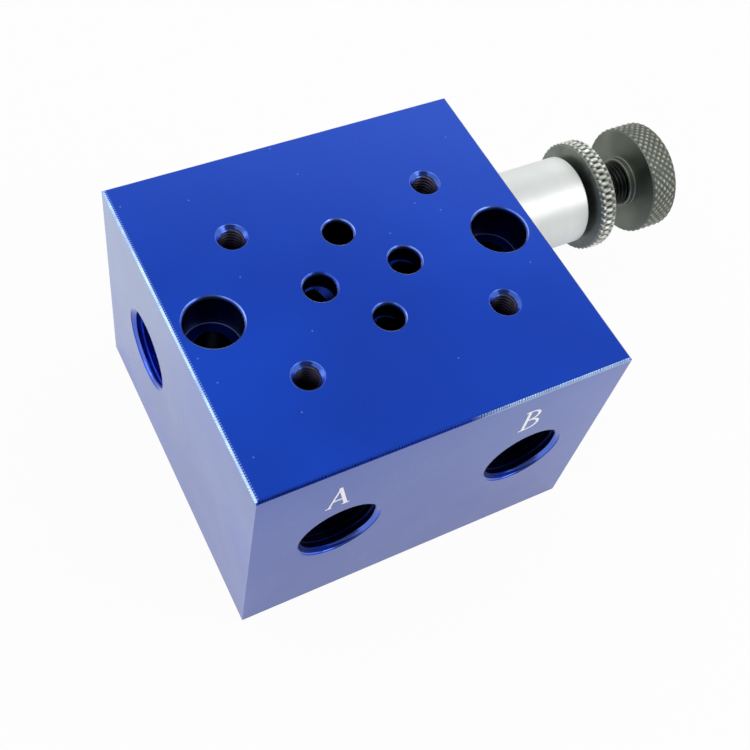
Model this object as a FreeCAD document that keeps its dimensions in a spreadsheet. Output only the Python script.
import FreeCAD, Part
import os

import Sketcher
from FreeCAD import Placement, Rotation, Vector

# Hydraulic manifold block: a drilled subplate for one size 3 directional valve, with a hand
# adjusted relief valve screwed into its right side.
#
# Frame: X runs along the block, + towards the relief valve. Y runs from the front, where the
# two working ports open (-Y), to the back. Z is up. The origin is the middle of the bottom face.
# Lengths are in millimetres.

doc = FreeCAD.newDocument("hydraulic_manifold_block")
sheet = doc.addObject("Spreadsheet::Sheet", "dims")

SIZES = [
    # Block
    ("block_length", 74.0, "along X"),
    ("block_width", 70.0, "along Y"),
    ("block_height", 52.0, "along Z"),
    ("edge_chamfer", 0.4, "milled chamfer round the top and bottom faces"),
    ("rim_break", 0.3, "deburred rim of the plain holes in the top face"),
    # Valve interface in the top face
    ("pattern_x", 0.0, "line of the two ports across the block"),
    ("port_pitch_x", 17.5, "between the two working ports of the valve"),
    ("port_pitch_y", 20.8, "between the pressure and the tank port of the valve"),
    ("port_line_radius", 3.0, "pressure and tank port"),
    ("port_work_radius", 3.2, "working ports"),
    ("port_entry_depth", 4.0, "straight mouth before a slanted drilling"),
    ("drill_point", 0.6, "length of a drill's point for each millimetre of its radius"),
    ("slant_radius", 2.8, "slanted drillings"),
    ("screw_offset_x", 1.25, "middle of the screw holes from the port line"),
    ("screw_pitch_x", 40.5, "valve screws along X"),
    ("screw_pitch_left", 32.5, "valve screws along Y, left pair"),
    ("screw_pitch_right", 31.0, "valve screws along Y, right pair"),
    ("screw_radius", 2.5, "tapped hole, thread's outer radius"),
    ("screw_drill_radius", 2.1, "tapping drill"),
    ("screw_sink_radius", 3.1, "countersink at the face"),
    ("screw_thread_depth", 10.0, "full thread"),
    ("screw_drill_depth", 12.0, "tapping drill"),
    # Mounting holes through the block
    ("mount_pitch", 59.0, "between the two mounting holes"),
    ("mount_radius", 3.5, "through hole"),
    ("mount_cbore_radius", 5.5, "counterbore for a cap screw"),
    ("mount_cbore_depth", 8.0, "counterbore for a cap screw"),
    # Threaded pipe ports in the sides
    ("pipe_radius", 8.33, "thread's outer radius"),
    ("pipe_sink", 0.15, "countersink beyond the thread, each way"),
    ("pipe_thread_depth", 13.0, "full thread"),
    ("pipe_drill_radius", 7.475, "tapping drill"),
    ("pipe_drill_depth", 16.0, "tapping drill"),
    ("gallery_radius", 4.0, "main drillings behind the pipe ports"),
    ("gallery_overrun", 2.0, "drilling past the last junction"),
    ("work_height", 27.0, "working port axes above the base"),
    ("work_left_x", -19.0, "left working port"),
    ("work_right_x", 20.7, "right working port"),
    ("inlet_height", 27.8, "pressure port and relief valve axis above the base"),
    ("inlet_y", 14.2, "pressure port"),
    ("tank_height", 13.5, "tank port above the base"),
    ("tank_x", 14.0, "tank port in the back face"),
    ("tank_thread_depth", 11.0, "full thread of the tank port, clear of the relief cavity"),
    ("tank_drill_depth", 18.0, "its tapping drill, which opens into the relief cavity"),
    # Relief valve cavity, depths from the right face
    ("cavity_y", 18.0, "relief valve axis"),
    ("cavity_thread_radius", 9.0, "thread's outer radius"),
    ("cavity_thread_depth", 16.0, "bore for the screwed-in end of the sleeve"),
    ("tank_room_radius", 8.2, "annular room that drains to the tank line"),
    ("tank_room_depth", 23.0, "end of that room"),
    ("seat_bore_radius", 6.0, "bore that holds the valve seat"),
    ("seat_bore_depth", 29.0, "shoulder behind the seat"),
    ("throat_radius", 4.5, "inlet throat"),
    ("throat_depth", 33.0, "end of the throat"),
    # Fits
    ("slip", 0.05, "radial clearance of threads and guided pieces"),
    ("lay_gap", 0.05, "clearance of seals in their grooves"),
    # Sleeve
    ("sleeve_radius", 9.8, "bright outer sleeve"),
    ("sleeve_reach", 27.4, "sleeve end beyond the right face"),
    ("sleeve_break", 0.5, "edge of the sleeve end"),
    ("sleeve_spigot", 14.5, "length screwed into the block"),
    ("sleeve_bore_radius", 6.5, "spring chamber"),
    ("sleeve_end_wall", 12.0, "threaded end of the sleeve"),
    ("spigot_groove_at", 11.6, "seal groove from the right face"),
    ("spigot_groove_width", 1.7, "seal groove"),
    ("spigot_seal_section", 0.75, "section radius of the sleeve's seal ring"),
    # Seat and poppet
    ("seat_length", 5.4, "valve seat"),
    ("seat_hole_radius", 2.0, "valve seat"),
    ("seat_edge", 0.4, "bevel of the seat's hole"),
    ("seat_lift", 0.05, "poppet held off the seat, so that the solids don't share an edge"),
    ("seat_groove_width", 1.2, "seal groove of the seat"),
    ("seat_seal_section", 0.5, "section radius of the seat's seal ring"),
    ("poppet_nose", 2.6, "length of the cone"),
    ("poppet_nose_radius", 3.0, "wide end of the cone"),
    ("poppet_tip_radius", 1.2, "narrow end of the cone"),
    ("poppet_stem", 10.2, "stem between cone and spring collar"),
    ("poppet_collar", 2.0, "spring collar"),
    ("poppet_collar_radius", 6.0, "spring collar"),
    ("spring_pilot_radius", 3.4, "studs that centre the spring"),
    ("spring_pilot", 3.0, "length of those studs"),
    ("spring_wire_radius", 0.9, "spring wire"),
    ("spring_coil_radius", 4.6, "middle of the spring wire"),
    ("spring_length", 16.0, "as set"),
    ("spring_turns", 5.0, "spring"),
    # Plunger that the screw pushes
    ("plunger_length", 5.0, "plunger"),
    ("plunger_groove_width", 1.4, "seal groove of the plunger"),
    ("plunger_seal_section", 0.6, "section radius of the plunger's seal ring"),
    # Adjusting screw, knob and lock ring
    ("thread_radius", 4.95, "adjusting screw"),
    ("screw_tip_gap", 0.05, "between plunger and screw at rest"),
    ("screw_tip_bevel", 1.0, "end of the adjusting screw"),
    ("ring_gap", 1.5, "lock ring from the sleeve end"),
    ("ring_width", 4.1, "lock ring"),
    ("ring_radius", 12.4, "lock ring over the knurl"),
    ("ring_bevel", 0.7, "lock ring edges"),
    ("boss_gap", 8.9, "lock ring to the boss of the knob"),
    ("boss_length", 1.4, "boss of the knob"),
    ("boss_radius", 5.6, "boss of the knob"),
    ("boss_break", 0.2, "edge of the boss"),
    ("knob_width", 6.4, "knob"),
    ("knob_radius", 12.2, "knob over the knurl"),
    ("knob_bevel", 0.5, "knob edges"),
    ("knob_floor", 1.4, "wall behind the screw's end"),
]

for row, (alias, value, note) in enumerate(SIZES, start=1):
    sheet.set("A%d" % row, alias)
    sheet.set("B%d" % row, str(value))
    sheet.set("C%d" % row, note)
    sheet.setAlias("B%d" % row, alias)
doc.recompute()


def bind(text):
    """Turns alias words of a formula into references to the sheet."""
    out = text
    for alias, _, _ in sorted(SIZES, key=lambda item: -len(item[0])):
        out = replace_word(out, alias, "dims." + alias)
    return out


def replace_word(text, word, new):
    """Replaces whole words that aren't already part of a longer name."""
    out = ""
    place = 0
    while True:
        hit = text.find(word, place)
        if hit < 0:
            return out + text[place:]
        before = text[hit - 1] if hit else " "
        after = text[hit + len(word)] if hit + len(word) < len(text) else " "
        whole = not (before.isalnum() or before in "_.") and not (after.isalnum() or after == "_")
        out += text[place:hit] + (new if whole else word)
        place = hit + len(word)


def number(text):
    """The value of a formula of alias words, worked out by the sheet's own cells."""
    probe = doc.getObject("probe")
    if probe is None:
        probe = doc.addObject("Part::Feature", "probe")
        probe.addProperty("App::PropertyFloat", "Amount", "Base")
    probe.setExpression("Amount", bind(text))
    probe.recompute()
    value = float(probe.Amount)
    probe.setExpression("Amount", None)
    return value


def origin_plane(body, role):
    """One of a body's own origin planes or axes."""
    for feature in body.Origin.OriginFeatures:
        if feature.Role == role:
            return feature
    raise ValueError("no origin feature " + role)


def sketch_at(body, name, role, at=("0", "0", "0"), turn="0"):
    """A sketch on a body's own origin plane, shifted and turned in that plane by formulas."""
    sketch = body.newObject("Sketcher::SketchObject", name)
    sketch.AttachmentSupport = [(origin_plane(body, role), "")]
    sketch.MapMode = "FlatFace"
    sketch.AttachmentOffset = Placement(
        Vector(number(at[0]), number(at[1]), number(at[2])),
        Rotation(Vector(0, 0, 1), number(turn)),
    )
    sketch.setExpression(".AttachmentOffset.Base.x", bind(at[0]))
    sketch.setExpression(".AttachmentOffset.Base.y", bind(at[1]))
    sketch.setExpression(".AttachmentOffset.Base.z", bind(at[2]))
    sketch.setExpression(".AttachmentOffset.Rotation.Angle", "(" + bind(turn) + ") * 1 deg")
    return sketch


def outline(sketch, points):
    """A closed polygon whose corners are held by formulas for their two coordinates."""
    values = [(number(across), number(along)) for across, along in points]
    count = len(points)
    for i in range(count):
        here = Vector(values[i][0], values[i][1], 0)
        there = Vector(values[(i + 1) % count][0], values[(i + 1) % count][1], 0)
        sketch.addGeometry(Part.LineSegment(here, there), False)
    for i in range(count):
        sketch.addConstraint(Sketcher.Constraint("Coincident", i, 2, (i + 1) % count, 1))
    for i, (across, along) in enumerate(points):
        hold(sketch, "DistanceX", i, values[i][0], across)
        hold(sketch, "DistanceY", i, values[i][1], along)
    return sketch


def hold(sketch, kind, index, value, formula):
    """Holds one coordinate of a line's start: on the axis itself, or at a bound distance."""
    if formula == "0":
        axis = -2 if kind == "DistanceX" else -1
        sketch.addConstraint(Sketcher.Constraint("PointOnObject", index, 1, axis))
        return
    at = sketch.addConstraint(Sketcher.Constraint(kind, -1, 1, index, 1, value))
    sketch.setExpression("Constraints[%d]" % at, bind(formula))


def turned_body(label, points, at):
    """A body of revolution about X. Points are (along X, radius); at is the place of its zero."""
    body = doc.addObject("PartDesign::Body", label)
    body.Label = label
    sketch = sketch_at(body, label + "_profile", "XY_Plane")
    outline(sketch, points)
    turned = body.newObject("PartDesign::Revolution", label + "_turned")
    turned.Profile = sketch
    turned.ReferenceAxis = (sketch, ["H_Axis"])
    turned.Angle = 360.0
    body.Tip = turned
    body.Placement = Placement(Vector(number(at[0]), number(at[1]), number(at[2])), Rotation())
    body.setExpression(".Placement.Base.x", bind(at[0]))
    body.setExpression(".Placement.Base.y", bind(at[1]))
    body.setExpression(".Placement.Base.z", bind(at[2]))
    return body


def bored(body, name, role, at, steps, turn="0", axis="V_Axis"):
    """Cuts a stepped bore. Steps are (depth, radius) from the mouth inwards; the axis is the
    sketch's own, and the sketch is turned so that depth counts inwards."""
    before = body.Shape.Volume
    sketch = sketch_at(body, name + "_profile", role, at, turn)
    if axis == "V_Axis":
        points = [(radius, depth) for depth, radius in steps]
    else:
        points = [(depth, radius) for depth, radius in steps]
    outline(sketch, points)
    cut = body.newObject("PartDesign::Groove", name)
    cut.Profile = sketch
    cut.ReferenceAxis = (sketch, [axis])
    cut.Angle = 360.0
    doc.recompute()
    if not body.Shape.Volume < before - 1.0:
        raise ValueError(name + " cuts nothing")
    return cut


# Block
block = doc.addObject("PartDesign::Body", "manifold_block")
block.Label = "manifold_block"
plan = sketch_at(block, "block_plan", "XY_Plane")
outline(
    plan,
    [
        ("-block_length / 2", "-block_width / 2"),
        ("block_length / 2", "-block_width / 2"),
        ("block_length / 2", "block_width / 2"),
        ("-block_length / 2", "block_width / 2"),
    ],
)
pad = block.newObject("PartDesign::Pad", "block_pad")
pad.Profile = plan
pad.setExpression("Length", bind("block_height"))
block.Tip = pad
doc.recompute()

# The milled chamfer runs round the top and the bottom face; the four upright edges stay sharp.
flat_edges = []
for index, edge in enumerate(pad.Shape.Edges, start=1):
    low = min(vertex.Z for vertex in edge.Vertexes)
    high = max(vertex.Z for vertex in edge.Vertexes)
    if high - low < 0.001:
        flat_edges.append("Edge%d" % index)
chamfer = block.newObject("PartDesign::Chamfer", "block_chamfer")
chamfer.Base = (pad, flat_edges)
chamfer.setExpression("Size", bind("edge_chamfer"))
block.Tip = chamfer
doc.recompute()


def vertical(name, x, y, steps):
    """A stepped bore straight down from the top face at (x, y)."""
    at = (x, "block_height", "-(%s)" % y)
    return bored(block, name, "XZ_Plane", at, steps, turn="180")


def straight_hole(radius, sink, depth, tip):
    """A plain drilled hole: deburred rim, wall, drill point."""
    return [
        ("0", "0"),
        ("0", "%s + %s" % (radius, sink)),
        (sink, radius),
        (depth, radius),
        ("%s + %s" % (depth, tip), "0"),
    ]


def tapped_hole(radius, sink, thread_depth, drill_radius, drill_depth):
    """A tapped hole: countersink, thread at its outer radius, tapping drill and its point."""
    return [
        ("0", "0"),
        ("0", sink),
        ("%s - %s" % (sink, radius), radius),
        (thread_depth, radius),
        ("%s + (%s - %s)" % (thread_depth, radius, drill_radius), drill_radius),
        (drill_depth, drill_radius),
        ("%s + drill_point * %s" % (drill_depth, drill_radius), "0"),
    ]


# Valve screw holes
for side, sign, pitch in (("left", "-", "screw_pitch_left"), ("right", "+", "screw_pitch_right")):
    for row, lean in (("front", "-"), ("back", "+")):
        vertical(
            "screw_%s_%s" % (side, row),
            "pattern_x + screw_offset_x %s screw_pitch_x / 2" % sign,
            "%s%s / 2" % (lean, pitch),
            tapped_hole(
                "screw_radius",
                "screw_sink_radius",
                "screw_thread_depth",
                "screw_drill_radius",
                "screw_drill_depth",
            ),
        )

# Mounting holes, counterbored, right through
for side, sign in (("left", "-"), ("right", "")):
    vertical(
        "mount_%s" % side,
        "%smount_pitch / 2" % sign,
        "0",
        [
            ("0", "0"),
            ("0", "mount_cbore_radius + rim_break"),
            ("rim_break", "mount_cbore_radius"),
            ("mount_cbore_depth", "mount_cbore_radius"),
            ("mount_cbore_depth", "mount_radius"),
            ("block_height - rim_break", "mount_radius"),
            ("block_height", "mount_radius + rim_break"),
            ("block_height", "0"),
        ],
    )

# Valve ports. The back one drops straight into the pressure gallery; the other three have a
# straight mouth and a slanted drilling that meets its gallery.
vertical(
    "port_back",
    "pattern_x",
    "port_pitch_y / 2",
    straight_hole(
        "port_line_radius",
        "rim_break",
        "(block_height - inlet_height)",
        "drill_point * port_line_radius",
    ),
)
MOUTHS = (
    ("port_front", "pattern_x", "-port_pitch_y / 2", "port_line_radius", "tank_x", "tank_height"),
    ("port_left", "pattern_x - port_pitch_x / 2", "0", "port_work_radius", "work_left_x", "work_height"),
    ("port_right", "pattern_x + port_pitch_x / 2", "0", "port_work_radius", "work_right_x", "work_height"),
)
for name, x, y, radius, goal_x, goal_z in MOUTHS:
    vertical(
        name,
        x,
        y,
        straight_hole(radius, "rim_break", "port_entry_depth", "drill_point * " + radius),
    )
    drop = "(block_height - port_entry_depth - %s)" % goal_z
    run = "(%s - (%s))" % (goal_x, x)
    length = "sqrt(%s * %s + %s * %s)" % (drop, drop, run, run)
    lean = "atan2(%s; %s) / 1 deg" % (run, drop)
    bored(
        block,
        name + "_slant",
        "XZ_Plane",
        (x, "block_height - port_entry_depth", "-(%s)" % y),
        [
            ("0", "0"),
            ("0", "slant_radius"),
            (length, "slant_radius"),
            (length + " + drill_point * slant_radius", "0"),
        ],
        turn="180 + " + lean,
    )


def pipe_port(reach, thread="pipe_thread_depth", drill="pipe_drill_depth"):
    """A tapped pipe port with the gallery behind it, drilled as far as reach from the face."""
    return [
        ("0", "0"),
        ("0", "pipe_radius + pipe_sink"),
        ("pipe_sink", "pipe_radius"),
        (thread, "pipe_radius"),
        (thread + " + pipe_radius - pipe_drill_radius", "pipe_drill_radius"),
        (drill, "pipe_drill_radius"),
        (drill + " + drill_point * (pipe_drill_radius - gallery_radius)", "gallery_radius"),
        (reach, "gallery_radius"),
        (reach + " + drill_point * gallery_radius", "0"),
    ]


# Working ports in the front face, their galleries running back to the middle of the block
for side in ("left", "right"):
    bored(
        block,
        "work_%s" % side,
        "XY_Plane",
        ("work_%s_x" % side, "-block_width / 2", "work_height"),
        pipe_port("(block_width / 2 + gallery_overrun)"),
    )

# Pressure port in the left face, its gallery running to the relief valve's throat
bored(
    block,
    "inlet",
    "XY_Plane",
    ("-block_length / 2", "inlet_y", "inlet_height"),
    pipe_port("(block_length - throat_depth + gallery_overrun)"),
    axis="H_Axis",
)

# Tank port in the back face: its tapping drill opens into the relief cavity, and its gallery
# runs on to the front port of the valve
bored(
    block,
    "tank",
    "XY_Plane",
    ("tank_x", "block_width / 2", "tank_height"),
    pipe_port(
        "(block_width / 2 + port_pitch_y / 2 + gallery_overrun)",
        "tank_thread_depth",
        "tank_drill_depth",
    ),
    turn="180",
)

# Relief valve cavity from the right face
bored(
    block,
    "cavity",
    "XY_Plane",
    ("block_length / 2", "cavity_y", "inlet_height"),
    [
        ("0", "0"),
        ("0", "cavity_thread_radius"),
        ("cavity_thread_depth", "cavity_thread_radius"),
        ("cavity_thread_depth", "tank_room_radius"),
        ("tank_room_depth", "tank_room_radius"),
        ("tank_room_depth", "seat_bore_radius"),
        ("seat_bore_depth", "seat_bore_radius"),
        ("seat_bore_depth", "throat_radius"),
        ("throat_depth", "throat_radius"),
        ("throat_depth + drill_point * throat_radius", "0"),
    ],
    turn="180",
    axis="H_Axis",
)

# Relief valve. Its pieces share one axis; each is turned about X. Their places along the axis
# follow from the piece that they stand on.
FACE = "block_length / 2"
AXIS = ("cavity_y", "inlet_height")
SEAT_AT = FACE + " - seat_bore_depth"
SLEEVE_END = FACE + " + sleeve_reach"
CONE_STEP = "poppet_nose / (poppet_nose_radius - poppet_tip_radius)"
CONE_AT = SEAT_AT + (
    " + seat_length - seat_edge + seat_lift - (seat_hole_radius - poppet_tip_radius) * " + CONE_STEP
)
COLLAR_AT = CONE_AT + " + poppet_nose + poppet_stem"
SPRING_AT = COLLAR_AT + " + poppet_collar"
PLUNGER_AT = SPRING_AT + " + spring_length"
TIP_AT = PLUNGER_AT + " + plunger_length + screw_tip_gap"
RING_AT = SLEEVE_END + " + ring_gap"
BOSS_AT = RING_AT + " + ring_width + boss_gap"
KNOB_AT = BOSS_AT + " + boss_length"
SPIGOT_RADIUS = "cavity_thread_radius - slip"
PLUNGER_RADIUS = "sleeve_bore_radius - slip"
SEAT_RADIUS = "seat_bore_radius"

# Sleeve: a bright tube with a screwed spigot, a spring chamber and a threaded end
GROOVE_FLOOR = "cavity_thread_radius - 2 * spigot_seal_section - 2 * lay_gap"
turned_body(
    "relief_sleeve",
    [
        ("-sleeve_spigot", "sleeve_bore_radius"),
        ("-sleeve_spigot", SPIGOT_RADIUS + " - sleeve_break"),
        ("-sleeve_spigot + sleeve_break", SPIGOT_RADIUS),
        ("-spigot_groove_at - spigot_groove_width", SPIGOT_RADIUS),
        ("-spigot_groove_at - spigot_groove_width", GROOVE_FLOOR),
        ("-spigot_groove_at", GROOVE_FLOOR),
        ("-spigot_groove_at", SPIGOT_RADIUS),
        ("0", SPIGOT_RADIUS),
        ("0", "sleeve_radius"),
        ("sleeve_reach - sleeve_break", "sleeve_radius"),
        ("sleeve_reach", "sleeve_radius - sleeve_break"),
        ("sleeve_reach", "thread_radius + slip"),
        ("sleeve_reach - sleeve_end_wall", "thread_radius + slip"),
        ("sleeve_reach - sleeve_end_wall", "sleeve_bore_radius"),
    ],
    (FACE,) + AXIS,
)

# Seat: a hardened bush against the shoulder of its bore
SEAT_GROOVE_FLOOR = "seat_bore_radius - 2 * seat_seal_section - 2 * lay_gap"
SEAT_GROOVE_AT = "(seat_length - seat_groove_width) / 2"
turned_body(
    "valve_seat",
    [
        ("0", "seat_hole_radius"),
        ("0", SEAT_RADIUS),
        (SEAT_GROOVE_AT, SEAT_RADIUS),
        (SEAT_GROOVE_AT, SEAT_GROOVE_FLOOR),
        (SEAT_GROOVE_AT + " + seat_groove_width", SEAT_GROOVE_FLOOR),
        (SEAT_GROOVE_AT + " + seat_groove_width", SEAT_RADIUS),
        ("seat_length", SEAT_RADIUS),
        ("seat_length", "seat_hole_radius + seat_edge"),
        ("seat_length - seat_edge", "seat_hole_radius"),
    ],
    (SEAT_AT,) + AXIS,
)

# Poppet: cone, stem, spring collar and a stud that centres the spring
turned_body(
    "relief_poppet",
    [
        ("0", "0"),
        ("0", "poppet_tip_radius"),
        ("poppet_nose", "poppet_nose_radius"),
        ("poppet_nose + poppet_stem", "poppet_nose_radius"),
        ("poppet_nose + poppet_stem", "poppet_collar_radius"),
        ("poppet_nose + poppet_stem + poppet_collar", "poppet_collar_radius"),
        ("poppet_nose + poppet_stem + poppet_collar", "spring_pilot_radius"),
        ("poppet_nose + poppet_stem + poppet_collar + spring_pilot", "spring_pilot_radius"),
        ("poppet_nose + poppet_stem + poppet_collar + spring_pilot", "0"),
    ],
    (CONE_AT,) + AXIS,
)

# Plunger: the sliding piece between spring and screw, with a seal groove
PLUNGER_FLOOR = "sleeve_bore_radius - 2 * plunger_seal_section - 2 * lay_gap"
PLUNGER_GROOVE_AT = "(plunger_length - plunger_groove_width) / 2"
turned_body(
    "spring_plunger",
    [
        ("-spring_pilot", "0"),
        ("-spring_pilot", "spring_pilot_radius"),
        ("0", "spring_pilot_radius"),
        ("0", PLUNGER_RADIUS),
        (PLUNGER_GROOVE_AT, PLUNGER_RADIUS),
        (PLUNGER_GROOVE_AT, PLUNGER_FLOOR),
        (PLUNGER_GROOVE_AT + " + plunger_groove_width", PLUNGER_FLOOR),
        (PLUNGER_GROOVE_AT + " + plunger_groove_width", PLUNGER_RADIUS),
        ("plunger_length", PLUNGER_RADIUS),
        ("plunger_length", "0"),
    ],
    (PLUNGER_AT,) + AXIS,
)

# Adjusting screw, from the plunger to inside the knob
SCREW_LENGTH = "(%s + knob_width - knob_floor) - (%s)" % (KNOB_AT, TIP_AT)
turned_body(
    "adjusting_screw",
    [
        ("0", "0"),
        ("0", "thread_radius - screw_tip_bevel"),
        ("screw_tip_bevel", "thread_radius"),
        (SCREW_LENGTH, "thread_radius"),
        (SCREW_LENGTH, "0"),
    ],
    (TIP_AT,) + AXIS,
)

# Lock ring on the screw
turned_body(
    "lock_ring",
    [
        ("0", "thread_radius + slip"),
        ("0", "ring_radius - ring_bevel"),
        ("ring_bevel", "ring_radius"),
        ("ring_width - ring_bevel", "ring_radius"),
        ("ring_width", "ring_radius - ring_bevel"),
        ("ring_width", "thread_radius + slip"),
    ],
    (RING_AT,) + AXIS,
)

# Knob: boss, knurled disc and a closed outer face
turned_body(
    "adjusting_knob",
    [
        ("-boss_length", "thread_radius"),
        ("-boss_length", "boss_radius - boss_break"),
        ("-boss_length + boss_break", "boss_radius"),
        ("0", "boss_radius"),
        ("0", "knob_radius - knob_bevel"),
        ("knob_bevel", "knob_radius"),
        ("knob_width - knob_bevel", "knob_radius"),
        ("knob_width", "knob_radius - knob_bevel"),
        ("knob_width", "0"),
        ("knob_width - knob_floor", "0"),
        ("knob_width - knob_floor", "thread_radius"),
    ],
    (KNOB_AT,) + AXIS,
)


def seal_ring(label, at_x, middle_radius, section_radius):
    """A rubber ring about the valve's axis."""
    ring = doc.addObject("Part::Torus", label)
    ring.Label = label
    ring.setExpression("Radius1", bind(middle_radius))
    ring.setExpression("Radius2", bind(section_radius))
    ring.Placement = Placement(
        Vector(number(at_x), number(AXIS[0]), number(AXIS[1])),
        Rotation(Vector(0, 1, 0), 90),
    )
    ring.setExpression(".Placement.Base.x", bind(at_x))
    ring.setExpression(".Placement.Base.y", bind(AXIS[0]))
    ring.setExpression(".Placement.Base.z", bind(AXIS[1]))
    return ring


seal_ring(
    "sleeve_seal_ring",
    FACE + " - spigot_groove_at - spigot_groove_width / 2",
    "cavity_thread_radius - spigot_seal_section - lay_gap",
    "spigot_seal_section",
)
seal_ring(
    "seat_seal_ring",
    SEAT_AT + " + seat_length / 2",
    "seat_bore_radius - seat_seal_section - lay_gap",
    "seat_seal_section",
)
seal_ring(
    "plunger_seal_ring",
    PLUNGER_AT + " + plunger_length / 2",
    "sleeve_bore_radius - plunger_seal_section - lay_gap",
    "plunger_seal_section",
)

# Spring: round wire swept along a helix, between the collars of poppet and plunger
coil = doc.addObject("Part::Helix", "spring_path")
coil.setExpression("Radius", bind("spring_coil_radius"))
coil.setExpression("Height", bind("spring_length - 2 * spring_wire_radius"))
coil.setExpression("Pitch", bind("(spring_length - 2 * spring_wire_radius) / spring_turns"))
wire = doc.addObject("Part::Circle", "spring_section")
wire.setExpression("Radius", bind("spring_wire_radius"))
wire.Placement = Placement(Vector(number("spring_coil_radius"), 0, 0), Rotation(Vector(1, 0, 0), 90))
wire.setExpression(".Placement.Base.x", bind("spring_coil_radius"))
spring = doc.addObject("Part::Sweep", "relief_spring")
spring.Label = "relief_spring"
spring.Sections = [wire]
spring.Spine = (coil, ["Edge1"])
spring.Solid = True
spring.Frenet = True
spring.Placement = Placement(
    Vector(number(SPRING_AT + " + spring_wire_radius"), number(AXIS[0]), number(AXIS[1])),
    Rotation(Vector(0, 1, 0), 90),
)
spring.setExpression(".Placement.Base.x", bind(SPRING_AT + " + spring_wire_radius"))
spring.setExpression(".Placement.Base.y", bind(AXIS[0]))
spring.setExpression(".Placement.Base.z", bind(AXIS[1]))

NODES = [
    "manifold_block",
    "relief_sleeve",
    "sleeve_seal_ring",
    "valve_seat",
    "seat_seal_ring",
    "relief_poppet",
    "relief_spring",
    "spring_plunger",
    "plunger_seal_ring",
    "adjusting_screw",
    "lock_ring",
    "adjusting_knob",
]

doc.removeObject("probe")
doc.recompute()
for item in doc.Objects:
    if "Invalid" in item.State or "Error" in item.State:
        raise ValueError("%s is %s" % (item.Label, item.State))

os.makedirs("parts", exist_ok=True)
for label in NODES:
    piece = doc.getObjectsByLabel(label)[0]
    shape = piece.Shape
    if shape.isNull() or not shape.isValid() or not shape.Solids:
        raise ValueError(label + " has no valid solid")
    box = shape.BoundBox
    print(
        "%-18s solids %d  volume %.1f  x %.2f..%.2f  y %.2f..%.2f  z %.2f..%.2f"
        % (label, len(shape.Solids), shape.Volume, box.XMin, box.XMax, box.YMin, box.YMax, box.ZMin, box.ZMax)
    )
for label in NODES:
    doc.getObjectsByLabel(label)[0].Shape.exportStep("parts/%s.step" % label)
print("wrote", len(NODES), "parts")
